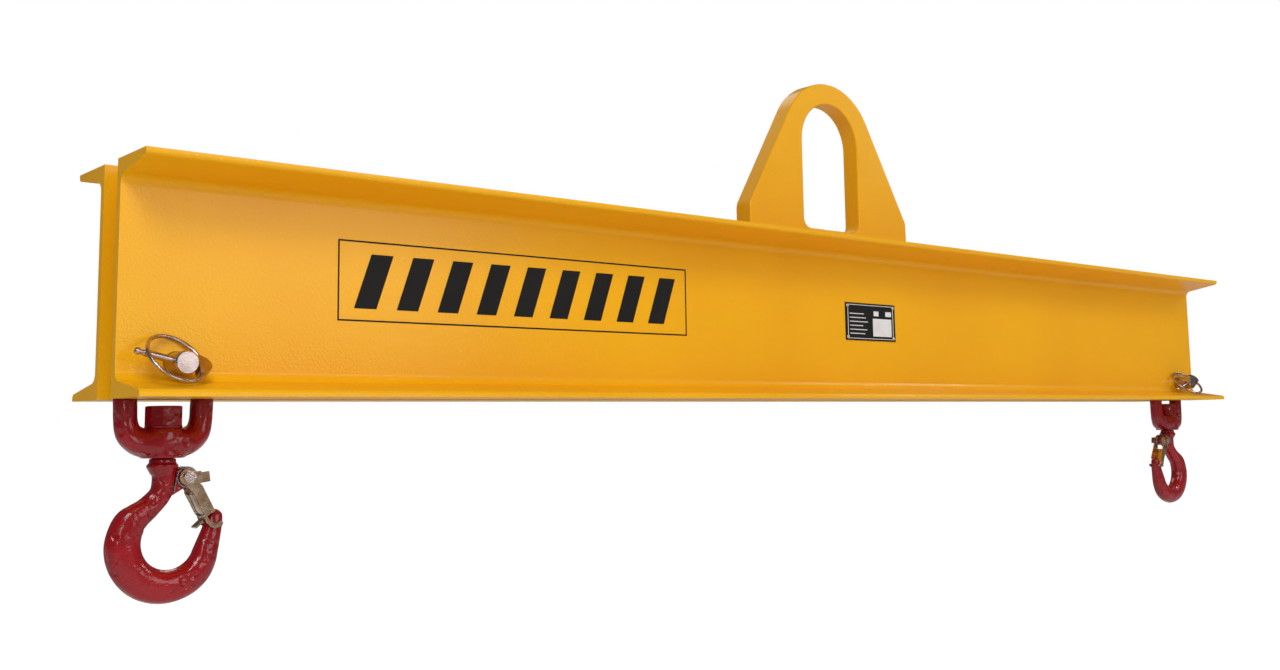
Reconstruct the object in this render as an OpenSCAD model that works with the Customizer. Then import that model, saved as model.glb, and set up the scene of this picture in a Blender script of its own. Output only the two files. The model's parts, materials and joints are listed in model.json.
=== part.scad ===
// Spreader beam: two channels back to back, welded to a lifting bail, with a
// swivel hook hung from a clevis pin at each end. Millimetres, +X along the
// beam, front channel towards -Y, +Z up. The origin is the crown of the bail's
// slot, where the crane hook bears, in the middle of the plate.

/* [Channels] */
// Overall length of the beam
beam_l = 1828.8; // [1500:0.1:2400]
// Depth of each channel
beam_h = 203.2; // [180:0.1:260]
// Width of each channel across its flanges
flange_w = 64.2; // [54:0.1:80]
// Thickness of the web
web_t = 7.7; // [6:0.1:12]
// Thickness of a flange at its toe
toe_t = 5.8; // [5:0.1:9]
// Rise of a flange's inner face per millimetre of width
flange_slope = 0.1667; // [0:0.0001:0.2]
// Radius of the fillet between web and flange
root_r = 9.5; // [4:0.1:14]
// Radius of the rounded toe
toe_r = 4.2; // [1:0.1:4.6]
// Clear gap between the two webs
web_gap = 31.75; // [30:0.01:45]

/* [Lifting bail] */
// Thickness of the bail plate
bail_t = 25.4; // [16:0.01:27]
// Width of the bail where it enters the beam
bail_w = 304.8; // [240:1:400]
// Height of the slot's crown above the channels
eye_rise = 185; // [150:1:260]
// Width of the slot
slot_w = 107; // [70:1:130]
// Height of the slot's floor above the channels
slot_floor = 17.5; // [10:0.5:40]
// Radius of the slot's lower corners
slot_corner_r = 13; // [4:1:30]
// Metal above the slot's crown
crown_t = 27.5; // [18:0.5:40]
// Outer radius of the crown
crown_r = 87; // [72:1:95]
// Radius of the bail's shoulders
shoulder_r = 20; // [8:1:30]
// Height of the shoulders' centres above the channels
shoulder_z = 34; // [24:1:50]
// Depth of the bail below the top of the channels
tongue_h = 150; // [80:1:170]
// Leg of the weld beads
weld_leg = 8; // [4:0.5:10]

/* [Spacers] */
// Width of a spacer bar
spacer_w = 50; // [30:1:80]
// Height of a spacer bar
spacer_h = 110; // [60:1:140]
// Places of the spacer bars, measured from the beam's middle
spacer_at = [-740, -380, 380, 740];
// Leg of the spacers' weld beads
spacer_leg = 5; // [3:0.5:8]

/* [Clevis pins] */
// Diameter of a clevis pin
pin_d = 20.6; // [16:0.1:22.5]
// Distance of a pin from the end of the beam
pin_inset = 50.8; // [45:0.1:80]
// Height of the pins above the beam's underside
pin_rise = 29.4; // [28:0.1:36]
// How far a pin's free end stands out of the front web
pin_out = 28; // [25:0.1:40]
// Diameter of the pin's head
pin_head_d = 25.4; // [23:0.1:26]
// Thickness of the pin's head
pin_head_t = 6.35; // [4:0.01:10]
// Gap between the head of each pin and the rear web, left and right
pin_play = [6.2, 4.8];
// Bevel on the pin's free end
pin_bevel = 1.2; // [0.4:0.1:2]
// Radial clearance of the pin in the channels
pin_fit = 0.08; // [0.02:0.01:0.1]

/* [Lynch pins] */
// Diameter of a lynch pin's shaft
lynch_d = 6.35; // [5:0.01:8]
// Distance of the lynch pin's shaft from the end of the clevis pin
lynch_inset = 7.6; // [6:0.1:10]
// Reach of the tail from the clevis pin's axis
lynch_tail = 43; // [38:0.1:46]
// Gap between the clevis pin and the head's flat
lynch_gap = 0.9; // [0.5:0.1:4]
// Radius of the half-moon head
lynch_head_r = 9.5; // [9:0.1:11]
// Thickness of the head
lynch_head_t = 9; // [7:0.1:12]
// Wire diameter of the snap ring
ring_wire = 3.6; // [2:0.1:4]
// Length of wire that shows between the head and the ring's bend
ring_gap = 1.5; // [1.2:0.1:2]
// Radius of the snap ring to the middle of its wire
ring_r = 26; // [24:0.1:28]
// Tilt of the snap ring, which lays it over the tail
ring_lean = 5.8; // [5:0.1:8]
// Turn of each clevis pin about its own axis, left and right
lynch_tilt = [13, -17];
// Roll of each lynch pin about its own shaft, left and right
lynch_roll = [136, 131];

/* [Swivel bows] */
// Bar diameter of the bow
bow_d = 19.5; // [14:0.1:22]
// Spacing of the bow's legs at its arch
bow_spread = 68; // [60:0.1:72]
// Inward lean of each leg
bow_lean = 2.5; // [0:0.5:6]
// Clearance between the arch and the clevis pin
bow_seat = 0.3; // [0.1:0.05:0.6]
// Drop of the bow's nut seat below the pin's axis
seat_drop = 54.1; // [50:0.1:60]
// Drop of the bow's underside below the pin's axis
bow_drop = 79.9; // [74:0.1:90]
// Radius of the bow's round base
base_r = 18.5; // [17:0.1:20]
// Radius of the corners between the legs and the base
corner_r = 10.2; // [9:0.1:13]
// Rise of those corners above the bow's underside
corner_rise = 22.4; // [18:0.1:24]
// Diameter of the hook's shank
shank_d = 16; // [12:0.1:18]
// Radial clearance of the shank in the bow
shank_fit = 0.06; // [0.02:0.01:0.1]
// Width of the hook nut across its flats
nut_af = 30; // [26:0.1:32]
// Height of the hook nut
nut_h = 16.6; // [12:0.1:20]
// Diameter of the thrust washer
washer_d = 31; // [26:0.1:34]
// Thickness of the thrust washer
washer_t = 2.2; // [1.5:0.1:3]
// Diameter of the pin that locks the nut
lock_pin_d = 4; // [3:0.1:5]

/* [Hooks] */
// Inner radius of the bowl
bowl_r = 23.4; // [20:0.1:26]
// Offset of the bowl's centre towards the throat
bowl_x = 6.5; // [4:0.1:9]
// Drop of the bowl's centre below the bow
bowl_z = 71.3; // [68:0.1:78]
// Scale of the hook's thickness all along
forging = 1; // [0.85:0.01:1.1]
// Diameter of the neck's collar
collar_d = 26.2; // [22:0.1:28]
// Clearance under the bow
neck_gap = 0.4; // [0.2:0.1:1]

/* [Latches] */
// Place of the latch bolt from the shank's axis
latch_x = 19.5; // [19:0.1:22]
// Drop of the latch bolt below the bow
latch_z = 16.6; // [14:0.1:20]
// Clear width between the latch's cheeks
latch_inside = 15.4; // [15:0.1:18]
// Thickness of the latch's sheet
latch_t = 1.8; // [1.2:0.1:2.2]
// Radius of the latch's ears
ear_r = 7.5; // [6:0.1:9]
// Diameter of the latch bolt
latch_bolt_d = 6; // [5:0.1:8]
// Width of the bolt's head and nut across their flats
latch_bolt_af = 10; // [9:0.1:12]
// Wire diameter of the torsion spring
spring_wire = 1.3; // [1:0.1:1.4]
// Thickness of the hook's lug between the spring's coils
lug_t = 6.5; // [5:0.1:7]

/* [Plate and decal] */
// Width of the data plate
plate_w = 100; // [60:1:140]
// Height of the data plate
plate_h = 49; // [30:1:70]
// Thickness of the data plate
plate_t = 1; // [0.5:0.1:2]
// Place of the data plate's middle along the beam
plate_x = 56; // [0:1:300]
// Diameter of a rivet's head
rivet_d = 5; // [4:0.1:7]
// Width of the decal
decal_w = 441; // [200:1:500]
// Height of the decal
decal_h = 77; // [50:1:100]
// Place of the decal's middle along the beam
decal_x = -492.5; // [-600:0.5:-300]
// Thickness of the decal's film
decal_t = 0.3; // [0.2:0.05:0.6]
// Number of slanted bars in the decal
decal_bars = 9; // [3:1:14]

/* [Hidden] */
$fn = 64;

YELLOW = "#E9A820";
RED = "#8B1520";
ZINC = "#C9C4BC";
GOLD = "#B39A55";
BLACK = "#151515";

beam_top = -eye_rise;
beam_z = beam_top - beam_h;
web_face = web_gap / 2 + web_t;
filler_t = (web_gap - bail_t) / 2;
pin_x = beam_l / 2 - pin_inset;
pin_z = beam_z + pin_rise;
pin_end = web_face + pin_out;
lynch_flat = pin_d / 2 + lynch_gap;
head_y = web_face + pin_play[1];
head_gap = 0.3;
arch_z = pin_d / 2 + bow_seat - (bow_spread - bow_d) / 2;
leg_l = arch_z + bow_drop - corner_rise;
corner_x = bow_spread / 2 * cos(bow_lean) - leg_l * sin(bow_lean) - 0.2;
washer_z = -seat_drop + washer_t;
thrust_gap = 0.1;
seam = 0.5;
nut_z = washer_z + thrust_gap;
spring_r = ear_r + 0.9;
lug_boss_r = spring_r - spring_wire / 2 - 0.25;
cheek = latch_inside / 2;
latch_fit = 0.08;
slip = 0.05;

// Points of an arc about c, from angle a0 to a1, both ends included
function arc(c, r, a0, a1, n) = [for (i = [0:n]) let (a = a0 + (a1 - a0) * i / n) c + r * [cos(a), sin(a)]];

// ---- Channels -------------------------------------------------------------

// Half of the section: the lower flange from the web's back, round the toe and the root
function flange_points() =
    let (k = sqrt(1 + flange_slope * flange_slope), lean = atan(flange_slope))
    let (toe_c = [flange_w - toe_r, toe_t + flange_slope * toe_r - toe_r * k])
    let (root_z = toe_t + flange_slope * (flange_w - web_t - root_r) + root_r * k)
    concat([[0, 0], [flange_w, 0]], arc(toe_c, toe_r, 0, 90 - lean, 6),
        arc([web_t + root_r, root_z], root_r, 270 - lean, 180, 8));

module channel() {
    half = flange_points();
    n = len(half);
    other = [for (i = [n - 1:-1:0]) [half[i][0], beam_h - half[i][1]]];
    difference() {
        translate([-beam_l / 2, web_gap / 2, beam_z])
            rotate([90, 0, 90]) linear_extrude(beam_l) polygon(concat(half, other));
        for (side = [-1, 1]) translate([side * pin_x, web_gap / 2, pin_z]) rotate([-90, 0, 0]) {
            translate([0, 0, -1]) cylinder(d = pin_d + 2 * pin_fit, h = web_t + root_r + 2);
            translate([0, 0, web_t - 0.8]) cylinder(d1 = pin_d, d2 = pin_d + 3.2, h = 1.6);
        }
    }
}

module front_channel() color(YELLOW) difference() {
    mirror([0, 1, 0]) channel();
    at_rivets() rotate([-90, 0, 0]) cylinder(d = rivet_d / 2 + 2 * slip, h = 4.4, $fn = 24);
}

module rear_channel() color(YELLOW) channel();

// ---- Bail, fillers, spacers and welds ---------------------------------------

module bail_outline() {
    crown = [0, crown_t - crown_r];
    shoulder = [bail_w / 2 - shoulder_r, beam_top + shoulder_z];
    d = shoulder - crown;
    lean = atan2(d[1], d[0]) + acos((crown_r - shoulder_r) / norm(d));
    half = concat(arc(crown, crown_r, 90, lean, 24), arc(shoulder, shoulder_r, lean, 0, 6),
        [[bail_w / 2, beam_top - tongue_h]]);
    other = [for (i = [len(half) - 1:-1:1]) [-half[i][0], half[i][1]]];
    polygon(concat(half, other));
}

module slot_outline() {
    corner = [slot_w / 2 - slot_corner_r, beam_top + slot_floor + slot_corner_r];
    half = concat(arc([0, -slot_w / 2], slot_w / 2, 90, 0, 24), arc(corner, slot_corner_r, 0, -90, 6));
    other = [for (i = [len(half) - 1:-1:1]) [-half[i][0], half[i][1]]];
    polygon(concat(half, other));
}

module lifting_bail() color(YELLOW) rotate([90, 0, 0]) linear_extrude(bail_t, center = true)
    difference() {
        bail_outline();
        slot_outline();
    }

module filler_plates() color(YELLOW) for (s = [-1, 1])
    translate([-bail_w / 2 + 12, s > 0 ? bail_t / 2 : -web_gap / 2, beam_top - tongue_h])
        cube([bail_w - 24, filler_t, tongue_h]);

// A fillet bead along X, its corner on the X axis, laid towards +Y and +Z
module bead(leg, length) rotate([90, 0, 90]) linear_extrude(length, center = true)
    polygon(concat([[0, 0], [leg, 0]], arc([0, 0], leg * 0.86, 20, 70, 4), [[0, leg]]));

module bail_welds() color(YELLOW) for (s = [0, 1]) mirror([0, s, 0])
    translate([0, bail_t / 2, beam_top]) bead(weld_leg, bail_w);

module web_spacers() color(YELLOW) for (x = spacer_at)
    translate([x - spacer_w / 2, -web_gap / 2, beam_z + (beam_h - spacer_h) / 2])
        cube([spacer_w, web_gap, spacer_h]);

// Beads up both upright edges of each spacer, on both webs
module spacer_welds() color(YELLOW) for (x = spacer_at, s = [0, 1], e = [0, 1])
    translate([x, 0, beam_z + beam_h / 2]) mirror([0, s, 0]) mirror([e, 0, 0])
        translate([spacer_w / 2, -web_gap / 2, 0]) rotate([0, -90, 0]) mirror([0, 0, 1])
            bead(spacer_leg, spacer_h - 10);

// ---- Data plate and decal ---------------------------------------------------

module at_rivets() for (u = [-1, 1], v = [-1, 1])
    translate([plate_x + u * (plate_w / 2 - 4), -web_face, beam_z + beam_h / 2 + v * (plate_h / 2 - 4)])
        children();

module data_plate() color(BLACK) difference() {
    translate([plate_x - plate_w / 2, -web_face - plate_t, beam_z + (beam_h - plate_h) / 2])
        cube([plate_w, plate_t, plate_h]);
    at_rivets() translate([0, 1, 0]) rotate([90, 0, 0])
        cylinder(d = rivet_d / 2 + 2 * slip, h = plate_t + 2, $fn = 24);
}

module data_plate_rivets() color(ZINC) at_rivets() rotate([90, 0, 0]) {
    translate([0, 0, -4]) cylinder(d = rivet_d / 2, h = 4 + plate_t + 0.5, $fn = 24);
    translate([0, 0, plate_t]) rotate_extrude($fn = 32)
        polygon(concat([[0, 0]], arc([0, -1.2], sqrt(pow(rivet_d / 2, 2) + 1.44), asin(1.2 / (rivet_d / 2 + 0.27)), 90, 6)));
}

// A plain border with slanted bars in it
module side_decal() color(BLACK)
    translate([decal_x, -web_face, beam_z + beam_h * 0.548]) rotate([90, 0, 0]) linear_extrude(decal_t) {
        difference() {
            square([decal_w, decal_h], center = true);
            square([decal_w - 3, decal_h - 3], center = true);
        }
        pitch = (decal_w - 30) / decal_bars;
        for (i = [0:decal_bars - 1]) translate([(i - (decal_bars - 1) / 2) * pitch, 0])
            polygon([[-pitch * 0.5 + 2, -decal_h * 0.34], [pitch * 0.06, -decal_h * 0.34],
                [pitch * 0.5 - 2, decal_h * 0.34], [-pitch * 0.06, decal_h * 0.34]]);
    }

// ---- Clevis pins and lynch pins -----------------------------------------------

// A hook's own frame: the clevis pin's axis along Y through the origin, the throat towards +X
module at_pin(side) translate([side * pin_x, 0, pin_z]) mirror([side > 0 ? 1 : 0, 0, 0]) children();

// How far a clevis pin lies back from the place where the right one lies
function pin_back(side) = side > 0 ? 0 : pin_play[0] - pin_play[1];

// A lynch pin's own frame: its shaft along X, the head towards +X, the ring's ends along Z
module at_lynch(side) translate([side * pin_x, lynch_inset - pin_end + pin_back(side), pin_z])
    rotate([0, lynch_tilt[side > 0 ? 1 : 0], 0]) rotate([lynch_roll[side > 0 ? 1 : 0], 0, 0]) children();

module clevis_pin(side) color(ZINC) difference() {
    translate([side * pin_x, pin_back(side), pin_z]) rotate([-90, 0, 0]) rotate_extrude() polygon([
        [0, -pin_end], [pin_d / 2 - pin_bevel, -pin_end], [pin_d / 2, -pin_end + pin_bevel],
        [pin_d / 2, head_y], [pin_head_d / 2, head_y], [pin_head_d / 2, head_y + pin_head_t - 1],
        [pin_head_d / 2 - 1, head_y + pin_head_t], [0, head_y + pin_head_t]
    ]);
    at_lynch(side) rotate([0, 90, 0]) cylinder(d = lynch_d + 2 * latch_fit, h = pin_d * 2, center = true);
}

hinge_x = lynch_flat + 4;
ring_end = sqrt(pow(lynch_head_r, 2) - pow(hinge_x - lynch_flat - 2, 2)) + ring_gap;

module lynch_pin(side) color(ZINC) at_lynch(side) difference() {
    union() {
        rotate([0, 90, 0]) {
            translate([0, 0, -lynch_tail + 8]) cylinder(d = lynch_d, h = lynch_tail - 8 + lynch_flat + 2);
            translate([0, 0, -lynch_tail]) rotate_extrude() polygon(concat([[0, 0]],
                arc([lynch_d / 2 - 1.6, 1.6], 1.6, -90, 0, 4), [[lynch_d / 2, 3.6], [lynch_d / 2 - 0.9, 4.6],
                [lynch_d / 2 - 0.9, 7], [lynch_d / 2, 8.4], [0, 8.4]]));
        }
        intersection() {
            translate([lynch_flat + 2, 0, 0]) rotate([90, 0, 0])
                cylinder(r = lynch_head_r, h = lynch_head_t, center = true);
            translate([lynch_flat, -20, -20]) cube(40);
        }
    }
    for (s = [-1, 1]) translate([hinge_x, 0, s * (ring_end + 0.5)]) mirror([0, 0, s > 0 ? 1 : 0])
        cylinder(d = ring_wire + 2 * latch_fit, h = ring_end - 4.2, $fn = 32);
}

module lynch_ring(side) color(ZINC) at_lynch(side) translate([hinge_x, 0, 0]) rotate([0, 0, -ring_lean]) {
    start = asin(ring_end / ring_r);
    translate([-ring_r * cos(start), 0, 0]) rotate([90, 0, 0]) rotate([0, 0, start])
        rotate_extrude(angle = 360 - 2 * start, $fn = 96) translate([ring_r, 0]) circle(d = ring_wire, $fn = 24);
    for (s = [-1, 1]) mirror([0, 0, s > 0 ? 0 : 1]) {
        translate([0, 0, ring_end]) sphere(d = ring_wire, $fn = 24);
        translate([0, 0, 5]) cylinder(d = ring_wire, h = ring_end - 5, $fn = 24);
    }
}

// ---- Swivel bows, nuts and washers ------------------------------------------

module hook_bow(side) color(RED) at_pin(side) difference() {
    union() {
        translate([0, 0, arch_z]) rotate([90, 0, 0]) rotate([0, 0, -bow_lean])
            rotate_extrude(angle = 180 + 2 * bow_lean) translate([bow_spread / 2, 0]) circle(d = bow_d, $fn = 32);
        for (s = [0, 1]) mirror([s, 0, 0]) translate([0, 0, arch_z]) rotate([0, bow_lean, 0])
            translate([bow_spread / 2, 0, -leg_l]) cylinder(d = bow_d - seam, h = leg_l + 1.5, $fn = 32);
        hull() {
            for (s = [-1, 1]) translate([s * corner_x, 0, -bow_drop + corner_rise]) sphere(r = corner_r, $fn = 36);
            translate([0, 0, -bow_drop + 1]) cylinder(r = base_r, h = 6, $fn = 32);
            translate([0, 0, -bow_drop]) cylinder(r = base_r - 1, h = 4, $fn = 32);
            translate([0, 0, -seat_drop - 6]) cylinder(r = base_r - 1.5, h = 3, $fn = 32);
        }
        translate([0, 0, -seat_drop - 5]) cylinder(r = base_r, h = 5);
    }
    translate([0, 0, -bow_drop - 1]) cylinder(d = shank_d + 2 * shank_fit, h = bow_drop);
    translate([0, 0, -seat_drop]) cylinder(r = base_r + 0.5, h = 20);
}

module thrust_washer(side) color(RED) at_pin(side) translate([0, 0, -seat_drop]) difference() {
    cylinder(d = washer_d, h = washer_t);
    translate([0, 0, -1]) cylinder(d = shank_d + 2 * shank_fit, h = washer_t + 2);
}

module at_lock_pin(side) at_pin(side) translate([0, 0, nut_z + nut_h / 2]) rotate([0, 0, 8]) rotate([90, 0, 30])
    children();

module hook_nut(side) color(RED) difference() {
    at_pin(side) translate([0, 0, nut_z]) rotate([0, 0, 8]) difference() {
        intersection() {
            cylinder(d = nut_af / cos(30), h = nut_h, $fn = 6);
            union() {
                cylinder(d = nut_af / cos(30) + 1, h = nut_h - 1.5);
                translate([0, 0, nut_h - 1.5]) cylinder(d1 = nut_af / cos(30) + 1, d2 = nut_af - 2, h = 1.5);
            }
        }
        translate([0, 0, -1]) cylinder(d = shank_d + 2 * slip, h = nut_h + 2);
    }
    at_lock_pin(side) cylinder(d = lock_pin_d + 2 * slip, h = nut_af * 2, center = true, $fn = 32);
}

module nut_lock_pin(side) color(ZINC) at_lock_pin(side) cylinder(d = lock_pin_d, h = nut_af - 0.4, center = true, $fn = 32);

// ---- Hooks ---------------------------------------------------------------------

// A hook's stations, each [x, z, thickness in the plane, depth across it], from the neck to the
// tip. Those on the bowl keep the inner face on its circle; angle gives their thickness and depth.
BOWL_T = [[152, 27], [180, 30.2], [225, 30.4], [270, 28.6], [315, 25.6], [344, 21.2]];
BOWL_D = [[152, 22], [180, 23.5], [225, 24], [270, 23], [315, 21], [344, 18.5]];
function on_bowl(a) = let (t = lookup(a, BOWL_T))
    [bowl_x + (bowl_r + t / 2) * cos(a), -bowl_z + (bowl_r + t / 2) * sin(a), t, lookup(a, BOWL_D)];
HOOK = concat(
    [[0.8, -8, 19.5, 19.5], [0.8, -20, 18.6, 19], [-1.6, -31, 18.8, 19], [-12, -42, 20.5, 20],
        [-20.4, -48.4, 23.6, 21]],
    [for (k = [0:12]) on_bowl(152 + 16 * k)],
    [[44.9, -62, 17, 14.8], [46.6, -52.5, 15, 12.6], [46.4, -48, 11.5, 10.4], [46, -45.6, 5, 5]]
);

// Catmull-Rom point at share t between stations i and i + 1
function station(i) = HOOK[max(0, min(len(HOOK) - 1, i))];
function blend(i, t) =
    let (p = station(i - 1), q = station(i), r = station(i + 1), s = station(i + 2))
    q + t / 2 * (r - p) + t * t * (p - 2.5 * q + 2 * r - s / 2) + t * t * t * (1.5 * q - p / 2 - 1.5 * r + s / 2);

module hook_body() {
    sides = 16;
    steps = 3;
    last = (len(HOOK) - 1) * steps;
    path = [for (k = [0:last]) blend(min(floor(k / steps), len(HOOK) - 2), k / steps - min(floor(k / steps), len(HOOK) - 2))];
    rings = [for (k = [0:last])
        let (a = path[max(0, k - 1)], b = path[min(last, k + 1)], g = atan2(b[1] - a[1], b[0] - a[0]))
        [for (j = [0:sides - 1]) let (f = 360 * j / sides, c = cos(f), s = sin(f))
            let (u = forging * path[k][2] / 2 * sign(c) * pow(abs(c), 0.86))
            let (w = forging * path[k][3] / 2 * sign(s) * pow(abs(s), 0.86))
            [path[k][0] + u * sin(g), w, path[k][1] - u * cos(g)]]];
    points = [for (ring = rings) each ring];
    walls = [for (k = [0:last - 1], j = [0:sides - 1]) let (n = (j + 1) % sides)
        [k * sides + j, (k + 1) * sides + j, (k + 1) * sides + n, k * sides + n]];
    ends = [[for (j = [0:sides - 1]) j], [for (j = [sides - 1:-1:0]) last * sides + j]];
    polyhedron(points, concat(walls, ends));
}

module at_latch() translate([latch_x, 0, -latch_z]) children();

module hook(side) color(RED) difference() {
    at_pin(side) difference() {
        translate([0, 0, -bow_drop]) union() {
            hook_body();
            translate([0, 0, -neck_gap]) cylinder(d = shank_d, h = bow_drop + neck_gap + nut_z + nut_h - 0.6);
            rotate_extrude() polygon([[0, -14], [9.6, -14], [collar_d / 2, -7.6], [collar_d / 2, -6],
                [11, -4], [11, -neck_gap], [0, -neck_gap]]);
            at_latch() rotate([90, 0, 0]) {
                linear_extrude(lug_t, center = true) polygon([[0, lug_boss_r], [-14, 8], [-18, -4], [-15, -18.5],
                    [-13.2, -16.8], [-2.7, -10.7], [lug_boss_r * 0.5, -lug_boss_r * 0.86]]);
                cylinder(r = lug_boss_r, h = latch_inside - 0.6, center = true);
            }
        }
        translate([0, 0, -bow_drop]) at_latch() rotate([90, 0, 0])
            cylinder(d = latch_bolt_d + 2 * slip, h = 2 * latch_inside, center = true, $fn = 32);
    }
    at_lock_pin(side) cylinder(d = lock_pin_d + 2 * slip, h = nut_af * 2, center = true, $fn = 32);
}

// ---- Latches ----------------------------------------------------------------------

web_dir = -61.2;
web_off = 3;

// Side view of one cheek: ear, arm and the finger that passes beside the hook's tip
module cheek_outline() {
    circle(ear_r);
    polygon([[-ear_r * 0.86, -ear_r * 0.5], [2.2, -10.2], [14.6, -32.7], [16.8, -34.4], [24.2, -30.2],
        [12.2, -7.5], [ear_r * 0.92, -ear_r * 0.4]]);
    polygon([[14, -31.6], [17, -39.5], [20, -43.6], [25.6, -45.2], [30.8, -43.2], [31.8, -40.4], [29.4, -39],
        [25.2, -41.2], [20.8, -39.2], [18, -36], [16.8, -33.4]]);
}

module latch(side) color(GOLD) at_pin(side) translate([0, 0, -bow_drop]) at_latch() difference() {
    rotate([90, 0, 0]) {
        for (s = [0, 1]) mirror([0, 0, s]) translate([0, 0, cheek]) {
            linear_extrude(latch_t) cheek_outline();
            rotate([0, 0, 8]) translate([ear_r - 2, -7, 0]) cube([13, 9, latch_t]);
        }
        rotate([0, 0, web_dir]) translate([16.5, -web_off, -cheek - 0.5]) cube([25, latch_t, 2 * cheek + 1]);
        rotate([0, 0, web_dir]) translate([39.6, -web_off + latch_t, -5]) rotate([0, 0, -78]) cube([12.5, latch_t, 10]);
    }
    rotate([90, 0, 0]) cylinder(d = latch_bolt_d + 2 * latch_fit, h = 4 * cheek, center = true, $fn = 32);
}

module latch_bolt(side) color(ZINC) at_pin(side) translate([0, 0, -bow_drop]) at_latch() rotate([90, 0, 0]) {
    grip = cheek + latch_t + head_gap;
    translate([0, 0, -grip - 6]) cylinder(d = latch_bolt_d, h = 2 * grip + 6.5, $fn = 32);
    translate([0, 0, grip]) cylinder(d = latch_bolt_af / cos(30), h = 4, $fn = 6);
}

module latch_nut(side) color(ZINC) at_pin(side) translate([0, 0, -bow_drop]) at_latch() rotate([-90, 0, 0])
    translate([0, 0, cheek + latch_t + head_gap]) difference() {
        cylinder(d = latch_bolt_af / cos(30), h = 5, $fn = 6);
        translate([0, 0, -1]) cylinder(d = latch_bolt_d + 2 * slip, h = 7, $fn = 32);
    }

// Unit vectors square to a path, each carried along from the one before it
function aim(path, i) = let (d = path[min(len(path) - 1, i + 1)] - path[max(0, i - 1)]) d / norm(d);
function flat_to(v, t) = let (w = v - (v * t) * t) w / norm(w);
function carried(path) =
    [for (i = 0, n = flat_to([0, 1, 0], aim(path, 0)); i < len(path);
        i = i + 1, n = i < len(path) ? flat_to(n, aim(path, i)) : n) n];

// Round wire of diameter d along a path of points
module wire(path, d, sides = 6) {
    side = carried(path);
    points = [for (i = [0:len(path) - 1]) let (t = aim(path, i), up = cross(t, side[i]))
        for (j = [0:sides - 1]) path[i] + d / 2 * (cos(360 * j / sides) * side[i] + sin(360 * j / sides) * up)];
    walls = [for (k = [0:len(path) - 2], j = [0:sides - 1]) let (n = (j + 1) % sides)
        [k * sides + j, (k + 1) * sides + j, (k + 1) * sides + n, k * sides + n]];
    ends = [[for (j = [0:sides - 1]) j], [for (j = [sides - 1:-1:0]) (len(path) - 1) * sides + j]];
    polyhedron(points, concat(walls, ends));
}

// One coil with its legs, on the side of the lug that s gives: from the neck, up round
// the lug's boss and down to the bridge that pushes on the latch
function half_spring(s) =
    let (y0 = lug_t / 2 + 0.2 + spring_wire / 2, y1 = cheek - 0.2 - spring_wire / 2, turn = 555, n = 24)
    concat([[-10.4, s * y0, -12.5]], [for (i = [0:n]) let (a = 180 - turn * i / n)
        [spring_r * cos(a), s * (y0 + (y1 - y0) * i / n), spring_r * sin(a)]],
        [[3.3, s * y1, -13.6], [3.6, s * y1, -15], [14, s * y1, -33.6]]);

module latch_spring(side) color(ZINC) at_pin(side) translate([0, 0, -bow_drop]) at_latch() {
    far = half_spring(-1);
    wire(concat(half_spring(1), [for (i = [len(far) - 1:-1:0]) far[i]]), spring_wire);
}

front_channel();
rear_channel();
lifting_bail();
filler_plates();
bail_welds();
web_spacers();
spacer_welds();
data_plate();
data_plate_rivets();
side_decal();
clevis_pin(-1);  // clevis_pin_left
lynch_pin(-1);  // lynch_pin_left
lynch_ring(-1);  // lynch_ring_left
hook_bow(-1);  // hook_bow_left
thrust_washer(-1);  // thrust_washer_left
hook_nut(-1);  // hook_nut_left
nut_lock_pin(-1);  // nut_lock_pin_left
hook(-1);  // hook_left
latch(-1);  // latch_left
latch_bolt(-1);  // latch_bolt_left
latch_nut(-1);  // latch_nut_left
latch_spring(-1);  // latch_spring_left
clevis_pin(1);  // clevis_pin_right
lynch_pin(1);  // lynch_pin_right
lynch_ring(1);  // lynch_ring_right
hook_bow(1);  // hook_bow_right
thrust_washer(1);  // thrust_washer_right
hook_nut(1);  // hook_nut_right
nut_lock_pin(1);  // nut_lock_pin_right
hook(1);  // hook_right
latch(1);  // latch_right
latch_bolt(1);  // latch_bolt_right
latch_nut(1);  // latch_nut_right
latch_spring(1);  // latch_spring_right
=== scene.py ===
# Spreader beam: two channels welded either side of a lifting bail, with a
# swivel hook hung from a clevis pin at each end. Metres, in the CAD frame.
import json
import math
import bmesh
import bpy
import numpy as np
from mathutils import Matrix, Vector


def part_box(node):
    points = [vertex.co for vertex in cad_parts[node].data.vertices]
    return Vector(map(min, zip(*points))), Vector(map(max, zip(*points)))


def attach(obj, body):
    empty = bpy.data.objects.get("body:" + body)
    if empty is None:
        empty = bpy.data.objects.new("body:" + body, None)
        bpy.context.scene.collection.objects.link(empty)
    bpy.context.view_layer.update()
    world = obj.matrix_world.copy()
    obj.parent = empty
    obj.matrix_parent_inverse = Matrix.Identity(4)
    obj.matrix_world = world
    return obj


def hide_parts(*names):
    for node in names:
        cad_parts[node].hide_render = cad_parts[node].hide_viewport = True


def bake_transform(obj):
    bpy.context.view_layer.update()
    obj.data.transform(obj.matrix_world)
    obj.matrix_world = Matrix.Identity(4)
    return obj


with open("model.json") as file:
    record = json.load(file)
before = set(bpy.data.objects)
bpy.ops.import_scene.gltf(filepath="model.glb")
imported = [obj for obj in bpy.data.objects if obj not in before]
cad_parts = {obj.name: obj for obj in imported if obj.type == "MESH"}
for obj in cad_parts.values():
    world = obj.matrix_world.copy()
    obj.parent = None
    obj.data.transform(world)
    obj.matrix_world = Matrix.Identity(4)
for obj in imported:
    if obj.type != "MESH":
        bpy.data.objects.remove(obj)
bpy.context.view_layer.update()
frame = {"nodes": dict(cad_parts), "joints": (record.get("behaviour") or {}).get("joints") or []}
nodes = frame["nodes"]
SIDES = (("left", -1.0), ("right", 1.0))
MM = 0.001

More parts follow.
